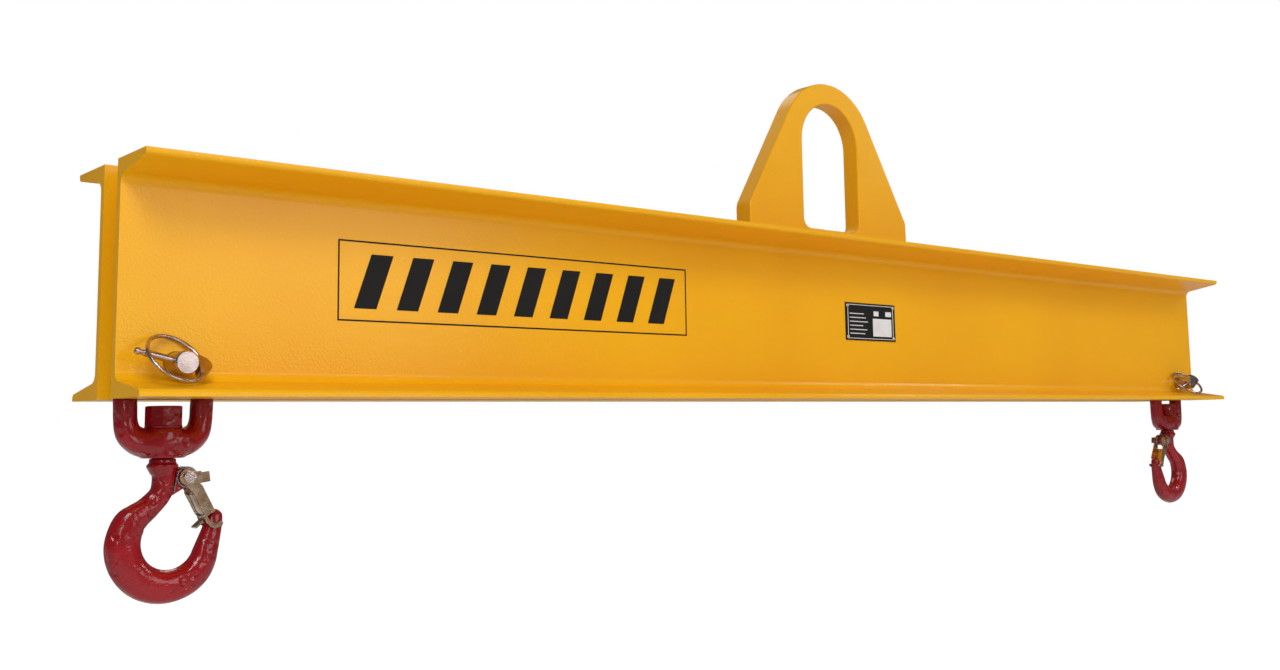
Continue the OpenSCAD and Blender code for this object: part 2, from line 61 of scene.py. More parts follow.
# ---- Studio ------------------------------------------------------------------
# A pale floor well below the hanging beam, a white surround and broad soft
# lights, with the camera low at the left and turned a little upwards.
yaw, pitch, roll = (math.radians(a) for a in (47.97, 6.72, -1.02))
ahead = Vector((math.cos(yaw) * math.cos(pitch), math.sin(yaw) * math.cos(pitch), math.sin(pitch)))
level = Vector((math.sin(yaw), -math.cos(yaw), 0.0))
above = level.cross(ahead)
across = level * math.cos(roll) + above * math.sin(roll)
up = across.cross(ahead)
camera = bpy.data.objects.new("camera", bpy.data.cameras.new("camera"))
bpy.context.scene.collection.objects.link(camera)
camera.data.sensor_width = 36.0
camera.data.lens = 37.587
camera.data.shift_x = -0.030
camera.data.shift_y = -0.050
camera.data.clip_end = 100.0
turn = Matrix((across, up, -ahead)).transposed().to_4x4()
camera.matrix_world = Matrix.Translation((-1.3088, -1.1615, -0.4212)) @ turn
bpy.context.scene.camera = camera
bpy.context.scene.view_settings.view_transform = "Standard"


def softbox(name, place, aim, width, height, watts):
    """A rectangular area light at place, facing aim."""
    lamp = bpy.data.lights.new(name, "AREA")
    lamp.shape, lamp.size, lamp.size_y, lamp.energy = "RECTANGLE", width, height, watts
    obj = bpy.data.objects.new(name, lamp)
    obj.location = place
    obj.rotation_euler = (Vector(aim) - Vector(place)).to_track_quat("-Z", "Y").to_euler()
    bpy.context.scene.collection.objects.link(obj)


softbox("key", (-2.1, -2.3, 2.1), (-0.3, 0.0, -0.3), 1.2, 1.2, 54.0)
softbox("front", (0.9, -3.4, 0.6), (0.4, 0.0, -0.35), 1.6, 1.6, 25.0)
softbox("strip", (-1.62, -1.45, 0.20), (-0.85, 0.0, -0.2), 0.16, 1.2, 4.5)
softbox("far_strip", (2.5, -1.5, 1.0), (0.2, 0.0, -0.4), 0.14, 1.0, 12.0)
softbox("back", (0.6, 2.8, 2.2), (0.2, 0.0, -0.2), 1.8, 1.8, 24.0)

world = bpy.data.worlds.new("surround")
world.use_nodes = True
seen = world.node_tree.nodes.new("ShaderNodeLightPath")
strength = world.node_tree.nodes.new("ShaderNodeMapRange")
strength.inputs["To Max"].default_value = 1.0
mirrored = world.node_tree.nodes.new("ShaderNodeMapRange")
mirrored.inputs["To Min"].default_value, mirrored.inputs["To Max"].default_value = 0.25, 0.12
world.node_tree.links.new(seen.outputs["Is Glossy Ray"], mirrored.inputs["Value"])
world.node_tree.links.new(mirrored.outputs["Result"], strength.inputs["To Min"])
world.node_tree.links.new(seen.outputs["Is Camera Ray"], strength.inputs["Value"])
world.node_tree.links.new(strength.outputs["Result"], world.node_tree.nodes["Background"].inputs["Strength"])
world.node_tree.nodes["Background"].inputs["Color"].default_value = (1.0, 1.0, 1.0, 1.0)
bpy.context.scene.world = world


# ---- Channels ---------------------------------------------------------------------
# Two rolled steel channels, webs towards each other and flanges outwards. They
# are shot-blasted and sprayed with one thick coat of safety yellow enamel.
class Sheet:
    """A node tree being filled: add() makes a node, join() links two sockets."""

    def __init__(self, tree):
        self.tree = tree

    def add(self, kind, **settings):
        node = self.tree.nodes.new(kind)
        for key, value in settings.items():
            if key in node.inputs:
                node.inputs[key].default_value = value
            else:
                setattr(node, key, value)
        return node

    def join(self, a, b):
        self.tree.links.new(a, b)


def effect(name, inputs, outputs):
    """An empty shader group with float inputs {name: default} and outputs {name: socket type}."""
    tree = bpy.data.node_groups.new(name, "ShaderNodeTree")
    for key, value in inputs.items():
        kind = "NodeSocketColor" if isinstance(value, tuple) else "NodeSocketFloat"
        socket = tree.interface.new_socket(key, in_out="INPUT", socket_type=kind)
        socket.default_value = value
    for key, kind in outputs.items():
        tree.interface.new_socket(key, in_out="OUTPUT", socket_type=kind)
    sheet = Sheet(tree)
    return tree, sheet, tree.nodes.new("NodeGroupInput"), tree.nodes.new("NodeGroupOutput")


def make_peel():
    """Orange peel: fine noise over a slow wave, as one bump normal. Size is in cells per metre."""
    tree, s, into, out = effect("orange_peel", {"Cells": 900.0, "Depth": 0.05, "Wave": 0.15},
                                {"Normal": "NodeSocketVector"})
    place = s.add("ShaderNodeTexCoord")
    fine = s.add("ShaderNodeTexNoise", Detail=1.0, Roughness=0.4)
    slow = s.add("ShaderNodeTexNoise", Scale=18.0, Detail=2.0)
    bump_slow = s.add("ShaderNodeBump", Distance=0.004)
    bump_fine = s.add("ShaderNodeBump", Distance=0.0006)
    for noise in (fine, slow):
        s.join(place.outputs["Object"], noise.inputs["Vector"])
    s.join(into.outputs["Cells"], fine.inputs["Scale"])
    s.join(into.outputs["Wave"], bump_slow.inputs["Strength"])
    s.join(into.outputs["Depth"], bump_fine.inputs["Strength"])
    s.join(slow.outputs["Fac"], bump_slow.inputs["Height"])
    s.join(fine.outputs["Fac"], bump_fine.inputs["Height"])
    s.join(bump_slow.outputs["Normal"], bump_fine.inputs["Normal"])
    s.join(bump_fine.outputs["Normal"], out.inputs["Normal"])
    return tree


def make_clouding():
    """Two colours mixed by soft clouds, with specks of a third where a finer noise peaks."""
    tree, s, into, out = effect(
        "clouding", {"Light": (1.0, 1.0, 1.0, 1.0), "Dark": (0.5, 0.5, 0.5, 1.0),
                     "Speck": (0.2, 0.2, 0.2, 1.0), "Clouds": 6.0, "Specks": 260.0, "Amount": 0.3},
        {"Color": "NodeSocketColor", "Mask": "NodeSocketFloat"})
    place = s.add("ShaderNodeTexCoord")
    clouds = s.add("ShaderNodeTexNoise", Detail=4.0, Roughness=0.55)
    specks = s.add("ShaderNodeTexNoise", Detail=2.0)
    spread = s.add("ShaderNodeMapRange")
    spread.inputs["From Min"].default_value, spread.inputs["From Max"].default_value = 0.35, 0.65
    peak = s.add("ShaderNodeMapRange")
    peak.inputs["From Min"].default_value, peak.inputs["From Max"].default_value = 0.66, 0.74
    share = s.add("ShaderNodeMath", operation="MULTIPLY")
    first = s.add("ShaderNodeMix", data_type="RGBA")
    second = s.add("ShaderNodeMix", data_type="RGBA")
    for noise, key in ((clouds, "Clouds"), (specks, "Specks")):
        s.join(place.outputs["Object"], noise.inputs["Vector"])
        s.join(into.outputs[key], noise.inputs["Scale"])
    s.join(clouds.outputs["Fac"], spread.inputs["Value"])
    s.join(specks.outputs["Fac"], peak.inputs["Value"])
    s.join(peak.outputs["Result"], share.inputs[0])
    s.join(into.outputs["Amount"], share.inputs[1])
    s.join(spread.outputs["Result"], first.inputs["Factor"])
    s.join(into.outputs["Light"], first.inputs["A"])
    s.join(into.outputs["Dark"], first.inputs["B"])
    s.join(share.outputs[0], second.inputs["Factor"])
    s.join(first.outputs["Result"], second.inputs["A"])
    s.join(into.outputs["Speck"], second.inputs["B"])
    s.join(second.outputs["Result"], out.inputs["Color"])
    s.join(share.outputs[0], out.inputs["Mask"])
    return tree


orange_peel = make_peel()
clouding = make_clouding()


def finish_of(name, light, dark, speck, clouds, specks, amount, cells, depth, wave, rough, rough_spread,
              metallic=0.0, coat=0.0, coat_rough=0.05):
    """A clouded colour under a bumped surface; roughness runs from rough up by rough_spread
    with the specks."""
    mat = bpy.data.materials.new(name)
    mat.use_nodes = True
    s = Sheet(mat.node_tree)
    shader = mat.node_tree.nodes["Principled BSDF"]
    shader.inputs["Metallic"].default_value = metallic
    shader.inputs["Coat Weight"].default_value = coat
    shader.inputs["Coat Roughness"].default_value = coat_rough
    colour = s.add("ShaderNodeGroup", node_tree=clouding)
    for key, value in (("Light", light), ("Dark", dark), ("Speck", speck)):
        colour.inputs[key].default_value = (*value, 1.0)
    colour.inputs["Clouds"].default_value = clouds
    colour.inputs["Specks"].default_value = specks
    colour.inputs["Amount"].default_value = amount
    peel = s.add("ShaderNodeGroup", node_tree=orange_peel)
    peel.inputs["Cells"].default_value = cells
    peel.inputs["Depth"].default_value = depth
    peel.inputs["Wave"].default_value = wave
    gloss = s.add("ShaderNodeMapRange")
    gloss.inputs["To Min"].default_value = rough
    gloss.inputs["To Max"].default_value = rough + rough_spread
    s.join(colour.outputs["Mask"], gloss.inputs["Value"])
    s.join(colour.outputs["Color"], shader.inputs["Base Color"])
    s.join(gloss.outputs["Result"], shader.inputs["Roughness"])
    s.join(peel.outputs["Normal"], shader.inputs["Normal"])
    s.join(peel.outputs["Normal"], shader.inputs["Coat Normal"])
    return mat


def softened(node, width, segments=2, angle=28.0):
    """A copy of a CAD node whose sharp edges are rounded over by width."""
    source = nodes[node]
    bm = bmesh.new()
    bm.from_mesh(source.data)
    bmesh.ops.remove_doubles(bm, verts=bm.verts, dist=2e-6)
    bmesh.ops.dissolve_limit(bm, angle_limit=math.radians(0.4), verts=bm.verts, edges=bm.edges)
    mesh = bpy.data.meshes.new(node + "_soft")
    bm.to_mesh(mesh)
    bm.free()
    mesh.polygons.foreach_set("use_smooth", [True] * len(mesh.polygons))
    obj = bpy.data.objects.new(node + "_soft", mesh)
    bpy.context.scene.collection.objects.link(obj)
    bevel = obj.modifiers.new("edges", "BEVEL")
    bevel.width, bevel.segments = width, segments
    bevel.limit_method, bevel.angle_limit = "ANGLE", math.radians(angle)
    bevel.use_clamp_overlap, bevel.miter_outer = True, "MITER_ARC"
    even = obj.modifiers.new("normals", "WEIGHTED_NORMAL")
    even.mode, even.weight = "FACE_AREA", 100
    return obj


def stand_for(piece, node, body, material):
    """Puts a finished piece in the place of one CAD node."""
    piece.data.materials.clear()
    piece.data.materials.append(material)
    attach(piece, body)
    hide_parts(node)
    return piece


# The speck colour, lighter and whiter than the enamel, is painted highlight: small glints of light on the orange
# peel, not flecks in the paint.
yellow = finish_of("safety_yellow_enamel", (0.89, 0.435, 0.005), (0.85, 0.395, 0.005), (0.95, 0.56, 0.10),
                   3.5, 380.0, 0.60, 480.0, 0.32, 0.05, 0.38, 0.10, coat=0.25, coat_rough=0.05)
yellow.node_tree.nodes["Principled BSDF"].inputs["Specular IOR Level"].default_value = 0.12
def soft_stand(node, width, segments, body, material):
    """A softened copy of a CAD node, put in that node's place."""
    return stand_for(softened(node, width, segments), node, body, material)


for node in ("front_channel", "rear_channel"):
    soft_stand(node, 1.5 * MM, 3, "beam", yellow)


# ---- Bail and fillers ---------------------------------------------------------------
# One thick plate, flame cut with a long slot, its edges ground round before
# painting. Two thin plates fill the gaps between it and the webs.
def dress(node, material):
    """Gives a CAD node its material."""
    obj = nodes[node]
    obj.data.materials.clear()
    obj.data.materials.append(material)


soft_stand("lifting_bail", 2.2 * MM, 3, "beam", yellow)
for node in ("filler_plates", "web_spacers"):
    dress(node, yellow)


# ---- Welds --------------------------------------------------------------------------
# Hand-laid fillet beads: round puddles that overlap every few millimetres,
# painted over with the rest of the beam.
def new_piece(name, co, faces, smooth=True):
    """A mesh object from an (n, 3) array of points and a list or array of faces."""
    mesh = bpy.data.meshes.new(name)
    mesh.from_pydata(np.asarray(co, float).tolist(), [], [tuple(f) for f in np.asarray(faces).tolist()]
                     if isinstance(faces, np.ndarray) else faces)
    mesh.polygons.foreach_set("use_smooth", [smooth] * len(mesh.polygons))
    mesh.update()
    obj = bpy.data.objects.new(name, mesh)
    bpy.context.scene.collection.objects.link(obj)
    return obj


def grid_faces(rows, cols, wrap_rows=False, wrap_cols=True):
    """Quads between neighbours of a rows x cols grid of points, closed round where asked."""
    i, j = np.meshgrid(np.arange(rows if wrap_rows else rows - 1),
                       np.arange(cols if wrap_cols else cols - 1), indexing="ij")
    a, b = i * cols + j, i * cols + (j + 1) % cols
    c, d = (i + 1) % rows * cols + (j + 1) % cols, (i + 1) % rows * cols + j
    return np.stack([a, b, c, d], -1).reshape(-1, 4)


def closed_grid(points, wrap_rows=False):
    """Points and faces of a grid of rings; each end ring is closed by one face."""
    rows, cols = points.shape[:2]
    faces = [tuple(f) for f in grid_faces(rows, cols, wrap_rows).tolist()]
    if not wrap_rows:
        faces += [tuple(range(cols - 1, -1, -1)), tuple(range((rows - 1) * cols, rows * cols))]
    return points.reshape(-1, 3), faces


def gather(shells):
    """Several (points, faces) shells as one."""
    co, faces, start = [], [], 0
    for points, quads in shells:
        co.append(np.asarray(points, float))
        faces += [tuple(start + k for k in f) for f in quads]
        start += len(points)
    return np.concatenate(co), faces


def face_outwards(obj):
    """Turns every shell of a closed piece the right way out."""
    bm = bmesh.new()
    bm.from_mesh(obj.data)
    bmesh.ops.recalc_face_normals(bm, faces=bm.faces)
    bm.to_mesh(obj.data)
    bm.free()


def bead_shell(start, end, side_a, side_b, leg, seed):
    """A bead along start to end in the corner of side_a and side_b. The section is a shallow arc from leg
    along side_a to leg along side_b, and its bulge follows the ripple |sin| of the distance, bent to a V."""
    start, end, side_a, side_b = (np.array(v, float) for v in (start, end, side_a, side_b))
    length = np.linalg.norm(end - start)
    rng = np.random.default_rng(seed)
    rows, cols = max(24, int(length / 0.0009)), 9
    t = np.linspace(0.0, 1.0, rows)[:, None]
    f = np.linspace(0.0, math.pi / 2, cols)[None, :]
    drift = np.interp(t[:, 0], np.linspace(0, 1, 12), rng.uniform(0.93, 1.0, 12))[:, None]
    phase = t * length / 0.0042 + 0.5 * np.sin(2 * f)
    bulge = (0.80 + 0.07 * np.abs(np.sin(math.pi * phase))) * drift
    taper = np.clip(np.minimum(t, 1 - t) * length / 0.004, 0.15, 1.0) ** 0.5
    flat = 0.5 / np.maximum(np.cos(f - math.pi / 4) * math.sqrt(0.5), 1e-6)
    radius = leg * taper * np.maximum(flat, 0) * (bulge + 0.18 * (1 - np.sin(2 * f)))
    line = start + t[..., None] * (end - start)
    arc = line + radius[..., None] * (np.cos(f)[..., None] * side_a + np.sin(f)[..., None] * side_b)
    ring = np.concatenate([np.broadcast_to(line, (rows, 1, 3)), arc], 1)
    return closed_grid(ring)


def bead_piece(name, node, runs):
    piece = new_piece(name, *gather([bead_shell(*run) for run in runs]))
    face_outwards(piece)
    return stand_for(piece, node, "beam", yellow)


low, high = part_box("bail_welds")
plate_low, plate_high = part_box("lifting_bail")
bead_piece("bail_beads", "bail_welds",
           [((low.x, s * plate_high.y, low.z), (high.x, s * plate_high.y, low.z), (0, s, 0), (0, 0, 1),
             7.9 * MM, 3 + s) for s in (-1, 1)])
low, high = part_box("spacer_welds")
web_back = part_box("web_spacers")[1].y
spacer_w = 0.050
bead_piece("spacer_beads", "spacer_welds",
           [((x + e * spacer_w / 2, s * web_back, low.z), (x + e * spacer_w / 2, s * web_back, high.z),
             (e, 0, 0), (0, -s, 0), 4.9 * MM, 11)
            for x in (-0.740, -0.380, 0.380, 0.740) for e in (-1, 1) for s in (-1, 1)])

# ---- Data plate --------------------------------------------------------------------
# Anodised aluminium plate with blank light fields for the ratings, held by
# four drive rivets.
plate_black = finish_of("anodised_black", (0.006, 0.006, 0.007), (0.010, 0.010, 0.011), (0.03, 0.03, 0.03),
                        30.0, 700.0, 0.25, 2500.0, 0.12, 0.0, 0.45, 0.2)
plate_black.node_tree.nodes["Principled BSDF"].inputs["Specular IOR Level"].default_value = 0.15
field_white = finish_of("bare_field", (0.78, 0.78, 0.78), (0.70, 0.70, 0.70), (0.55, 0.55, 0.55),
                        60.0, 900.0, 0.3, 2500.0, 0.1, 0.0, 0.45, 0.15)
rivet_metal = finish_of("rivet_aluminium", (0.62, 0.61, 0.60), (0.50, 0.49, 0.48), (0.2, 0.2, 0.2),
                        200.0, 900.0, 0.3, 3000.0, 0.15, 0.05, 0.3, 0.2, metallic=1.0)
soft_stand("data_plate", 0.25 * MM, 2, "beam", plate_black)
soft_stand("data_plate_rivets", 0.15 * MM, 2, "beam", rivet_metal)
low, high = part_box("data_plate")


def slabs(rects, face_y, thick):
    """Flat raised rectangles (left, right, bottom, top) in parts of the plate, standing
    thick proud of face_y."""
    r = np.array(rects, float)
    x = low.x + r[:, :2] * (high.x - low.x)
    z = low.z + r[:, 2:] * (high.z - low.z)
    corner = np.array([[0, 0], [1, 0], [1, 1], [0, 1]])
    pts = np.stack([np.stack([x[:, c[0]], np.full(len(r), y), z[:, c[1]]], -1)
                    for y in (face_y, face_y - thick) for c in corner], 1)
    faces = [tuple(8 * k + i for i in f) for k in range(len(r))
             for f in ((0, 3, 2, 1), (4, 5, 6, 7), (0, 1, 5, 4), (1, 2, 6, 5), (2, 3, 7, 6), (3, 0, 4, 7))]
    return pts.reshape(-1, 3), faces


rows_z = np.linspace(0.17, 0.70, 6)
fields = [(0.54, 0.92, 0.12, 0.60), (0.56, 0.66, 0.67, 0.80), (0.80, 0.92, 0.67, 0.80)]
fields += [(0.08, 0.08 + w, z, z + 0.022) for z, w in zip(rows_z, (0.30, 0.34, 0.26, 0.36, 0.32, 0.28))]
fields += [(0.04, 0.96, 0.045, 0.06), (0.04, 0.96, 0.94, 0.955),
           (0.04, 0.05, 0.045, 0.955), (0.95, 0.96, 0.045, 0.955)]
panel = new_piece("plate_fields", *slabs(fields, low.y, 0.08 * MM), smooth=False)
face_outwards(panel)
panel.data.materials.append(field_white)
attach(panel, "beam")

# ---- Side decal ----------------------------------------------------------------------
# Cut vinyl film: a thin border round a row of slanted bars.
film = finish_of("vinyl_black", (0.004, 0.003, 0.003), (0.006, 0.005, 0.005), (0.02, 0.015, 0.01),
                 12.0, 500.0, 0.2, 620.0, 0.10, 0.05, 0.50, 0.10)
film.node_tree.nodes["Principled BSDF"].inputs["Specular IOR Level"].default_value = 0.2
dress("side_decal", film)

# ---- Clevis and lynch pins --------------------------------------------------------------
# Bright zinc-plated steel: a headed pin with a bevelled end, and through it a
# lynch pin with a half-moon head and a spring-wire snap ring.
zinc = finish_of("bright_zinc", (0.60, 0.48, 0.45), (0.42, 0.32, 0.29), (0.18, 0.12, 0.09),
                 90.0, 600.0, 0.5, 1400.0, 0.25, 0.25, 0.20, 0.30, metallic=1.0)
spring_grey = finish_of("spring_wire", (0.45, 0.43, 0.41), (0.30, 0.29, 0.28), (0.12, 0.10, 0.08),
                        120.0, 700.0, 0.5, 2000.0, 0.2, 0.1, 0.25, 0.25, metallic=1.0)


def smooth_path(points, steps):
    """Catmull-Rom curve through the points: between two of them the curve is the cubic whose slope at each is
    half the step between its neighbours."""
    p = np.concatenate([points[:1] * 2 - points[1:2], points, points[-1:] * 2 - points[-2:-1]])
    t = np.linspace(0, 1, steps, endpoint=False)[None, :, None]
    a, b, c, d = (p[k:len(p) - 3 + k][:, None] for k in range(4))
    curve = (b + t / 2 * (c - a) + t ** 2 * (a - 2.5 * b + 2 * c - d / 2)
             + t ** 3 * (1.5 * b - a / 2 - 1.5 * c + d / 2))
    return np.concatenate([curve.reshape(-1, points.shape[1]), points[-1:]])


def carried_frames(path, first):
    """Tangents, and unit vectors square to them: each is the one before it, less its part
    along the new tangent."""
    tangent = np.gradient(path, axis=0)
    tangent /= np.linalg.norm(tangent, axis=1)[:, None]
    side = [np.array(first, float)]
    for t in tangent:
        v = side[-1] - (side[-1] @ t) * t
        side.append(v / np.linalg.norm(v))
    side = np.array(side[1:])
    return tangent, side, np.cross(tangent, side)


def wire_shell(path, radius, first, sides=14, nib=4):
    """Round wire along a path: a circle in each frame, drawn in to a rounded nib at both ends."""
    tangent, side, lift = carried_frames(path, first)
    turn = np.linspace(0, 2 * math.pi, sides, endpoint=False)
    ring = np.cos(turn)[None, :, None] * side[:, None] + np.sin(turn)[None, :, None] * lift[:, None]
    body = path[:, None] + radius * ring
    a = np.linspace(0, math.pi / 2, nib + 1)[1:]
    out = np.sin(a)[:, None, None]
    width = np.maximum(np.cos(a), 0.02)[:, None, None]
    fore = path[-1] + radius * (out * tangent[-1] + width * ring[-1])
    aft = path[0] + radius * (-out[::-1] * tangent[0] + width[::-1] * ring[0])
    return closed_grid(np.concatenate([aft, body, fore]))


def wire_piece(name, path, radius, first, sides=14):
    piece = new_piece(name, *wire_shell(path, radius, first, sides))
    face_outwards(piece)
    return piece


def turned(axis, degrees):
    """Rotation matrix about a coordinate axis."""
    return np.array(Matrix.Rotation(math.radians(degrees), 3, axis))


joint_of = {j["name"]: j for j in frame["joints"]}
for name, side in SIDES:
    soft_stand("clevis_pin_" + name, 0.5 * MM, 2, "pin_" + name, zinc)
    soft_stand("lynch_pin_" + name, 0.5 * MM, 3, "pin_" + name, zinc)
    tilt, spin = (13.0, 136.0) if side < 0 else (-17.0, 131.0)
    frame_l = turned("Y", tilt) @ turned("X", spin)
    hinge = np.array(joint_of["ring_open_" + name]["pos_m"])
    hoop, wire, lean = 26 * MM, 1.8 * MM, -5.8
    end = (math.sqrt(9.5 ** 2 - 2.0 ** 2) + 1.5) * MM
    start = math.asin(end / hoop)
    sweep = np.linspace(start, 2 * math.pi - start, 90)
    arc = np.stack([hoop * np.cos(sweep) - hoop * math.cos(start), 0 * sweep, hoop * np.sin(sweep)], -1)
    leg = np.array([[0, 0, 5 * MM], [0, 0, end - 2.2 * MM], [-0.25 * MM, 0, end - 0.9 * MM]])
    local = np.concatenate([leg, arc[2:-2], leg[::-1] * [1, 1, -1]])
    path = hinge + smooth_path(local @ turned("Z", lean).T, 3) @ frame_l.T
    ring = wire_piece("snap_ring_" + name, path, wire * 0.995, frame_l @ np.array([0, 1.0, 0]))
    stand_for(ring, "lynch_ring_" + name, "ring_" + name, zinc)


# ---- Swivel bows ---------------------------------------------------------------------------
# One forging: a round bar bent over the clevis pin that swells into a flat
# seat below for the hook's shank. Dipped in dark red enamel with the hook.
def make_dents():
    """A forged skin under paint: round pits where cells of a Voronoi meet a slow noise,
    over long soft swells."""
    tree, s, into, out = effect("forged_skin", {"Pits": 120.0, "Depth": 0.5, "Swell": 0.4, "Grain": 0.2},
                                {"Normal": "NodeSocketVector", "Hollow": "NodeSocketFloat"})
    place = s.add("ShaderNodeTexCoord")
    swell = s.add("ShaderNodeTexNoise", Scale=55.0, Detail=3.0)
    where = s.add("ShaderNodeTexNoise", Scale=48.0, Detail=2.0)
    cells = s.add("ShaderNodeTexVoronoi", feature="SMOOTH_F1", Smoothness=0.6)
    grain = s.add("ShaderNodeTexNoise", Scale=800.0, Detail=2.0)
    for texture in (swell, where, cells, grain):
        s.join(place.outputs["Object"], texture.inputs["Vector"])
    s.join(into.outputs["Pits"], cells.inputs["Scale"])
    pit = s.add("ShaderNodeMapRange", interpolation_type="SMOOTHSTEP")
    pit.inputs["From Min"].default_value, pit.inputs["From Max"].default_value = 0.20, 0.52
    gate = s.add("ShaderNodeMapRange", interpolation_type="SMOOTHSTEP")
    gate.inputs["From Min"].default_value, gate.inputs["From Max"].default_value = 0.50, 0.62
    hollow = s.add("ShaderNodeMath", operation="MULTIPLY")
    s.join(cells.outputs["Distance"], pit.inputs["Value"])
    s.join(where.outputs["Fac"], gate.inputs["Value"])
    flip = s.add("ShaderNodeMath", operation="SUBTRACT")
    flip.inputs[0].default_value = 1.0
    s.join(pit.outputs["Result"], flip.inputs[1])
    s.join(flip.outputs[0], hollow.inputs[0])
    s.join(gate.outputs["Result"], hollow.inputs[1])
    normal = None
    for height, key, distance, invert in ((swell.outputs["Fac"], "Swell", 0.004, False),
                                          (hollow.outputs[0], "Depth", 0.0012, True),
                                          (grain.outputs["Fac"], "Grain", 0.0003, False)):
        bump = s.add("ShaderNodeBump", Distance=distance, invert=invert)
        s.join(into.outputs[key], bump.inputs["Strength"])
        s.join(height, bump.inputs["Height"])
        if normal:
            s.join(normal, bump.inputs["Normal"])
        normal = bump.outputs["Normal"]
    s.join(normal, out.inputs["Normal"])
    s.join(hollow.outputs[0], out.inputs["Hollow"])
    return tree


forged_skin = make_dents()
red = finish_of("dark_red_enamel", (0.320, 0.003, 0.008), (0.210, 0.002, 0.005), (0.085, 0.003, 0.004),
                24.0, 170.0, 0.6, 260.0, 0.35, 0.55, 0.26, 0.20, coat=0.40, coat_rough=0.03)
red.node_tree.nodes["Principled BSDF"].inputs["Specular IOR Level"].default_value = 0.25
skin = Sheet(red.node_tree)
dents = skin.add("ShaderNodeGroup", node_tree=forged_skin)
dents.inputs["Pits"].default_value, dents.inputs["Depth"].default_value = 95.0, 0.9
dents.inputs["Swell"].default_value, dents.inputs["Grain"].default_value = 0.55, 0.25
for socket in ("Normal", "Coat Normal"):
    skin.join(dents.outputs["Normal"], red.node_tree.nodes["Principled BSDF"].inputs[socket])


def rounded(angle, power):
    """Cosine and sine of an angle raised to a power with their signs kept: the outline of a superellipse."""
    c, s = np.cos(angle), np.sin(angle)
    return np.sign(c) * np.abs(c) ** power, np.sign(s) * np.abs(s) ** power


def remeshed(obj, voxel, smoothing):
    """Joins overlapping shells into one skin and rounds the corners between them, then keeps the result."""
    skin = obj.modifiers.new("skin", "REMESH")
    skin.mode, skin.voxel_size, skin.use_smooth_shade = "VOXEL", voxel, True
    ease = obj.modifiers.new("ease", "SMOOTH")
    ease.factor, ease.iterations = 0.5, smoothing
    bpy.context.view_layer.update()
    done = bpy.data.meshes.new_from_object(obj.evaluated_get(bpy.context.evaluated_depsgraph_get()))
    obj.modifiers.clear()
    obj.data = done
    done.polygons.foreach_set("use_smooth", [True] * len(done.polygons))
    return obj


def revolve_shell(radii, heights, sides=48):
    """Rings of the given radii at the given heights about Z."""
    turn = np.linspace(0, 2 * math.pi, sides, endpoint=False)
    r, z = np.array(radii)[:, None], np.array(heights)[:, None]
    return closed_grid(np.stack([r * np.cos(turn), r * np.sin(turn), z + 0 * turn], -1))


def bow_shell():
    """The bow as one closed sweep in the XZ plane, millimetres from the pin's axis. The path runs up a leg, over
    the arch, down the other leg and back through the base; the section is a circle on the bar and a wide, boxy
    superellipse in the middle of the base."""
    spread, bar, lean, pin_d, pin_play = 68.0, 19.5, 2.5, 20.6, 0.3
    arch_z = pin_d / 2 + pin_play - (spread - bar) / 2
    arch_steps = 33
    a = np.radians(np.linspace(-lean, 180 + lean, arch_steps))
    arch = np.stack([spread / 2 * np.cos(a), arch_z + spread / 2 * np.sin(a)], -1)
    right = np.array([[33.0, -35.0], [32.3, -49.0], [28.9, -59.2], [19.4, -65.8], [9.0, -67.0]])
    path = np.concatenate([right[::-1], arch, right * [-1, 1], [[0.0, -67.0]]])
    inner = np.array([9.75, 9.8, 10.8, 12.1, 12.9])
    wide = np.array([9.75, 9.9, 11.4, 15.6, 18.0])
    power = np.array([1.0, 1.0, 0.94, 0.84, 0.76])
    bar_run = np.full(arch_steps, bar / 2)
    half_in = np.concatenate([inner[::-1], bar_run, inner, [12.9]])
    half_y = np.concatenate([wide[::-1], bar_run, wide, [18.4]])
    boxy = np.concatenate([power[::-1], np.ones(arch_steps), power, [0.70]])
    both = np.concatenate([path, half_in[:, None], half_y[:, None], boxy[:, None]], 1)
    ring_of = smooth_path(np.concatenate([both[-1:], both, both[:1]]), 4)[4:-5]
    p, tangent = ring_of[:, :2], np.roll(ring_of[:, :2], -1, 0) - np.roll(ring_of[:, :2], 1, 0)
    tangent /= np.linalg.norm(tangent, axis=1)[:, None]
    normal = np.stack([tangent[:, 1], -tangent[:, 0]], -1)
    f = np.linspace(0, 2 * math.pi, 40, endpoint=False)[None, :]
    c, s = rounded(f, ring_of[:, 4:5])
    u, w = ring_of[:, 2:3] * c, ring_of[:, 3:4] * s
    points = np.stack([p[:, :1] + u * normal[:, :1], w, p[:, 1:] + u * normal[:, 1:]], -1)
    return closed_grid(points, wrap_rows=True)


def placed(co, name, side, drop=0.0):
    """Millimetres in a hook's own frame, carried to the row frame: mirrored on the right,
    so the hooks face in."""
    pin = np.array(joint_of["bow_swing_" + name]["pos_m"])
    return np.asarray(co) * MM * [-side, 1, 1] + pin - [0, 0, drop * MM]


for name, side in SIDES:
    seat = revolve_shell([17.6, 18.6, 18.4, 17.6, 15.6], [-79.9, -78.9, -66, -57, -54.1])
    co, faces = gather([bow_shell(), seat])
    bow = new_piece("bow_forging_" + name, placed(co, name, side), faces)
    face_outwards(bow)
    remeshed(bow, 0.9 * MM, 8)
    stand_for(bow, "hook_bow_" + name, "bow_" + name, red)
    soft_stand("thrust_washer_" + name, 0.5 * MM, 2, "bow_" + name, red)
    soft_stand("hook_nut_" + name, 0.9 * MM, 3, "hook_" + name, red)
    dress("nut_lock_pin_" + name, zinc)

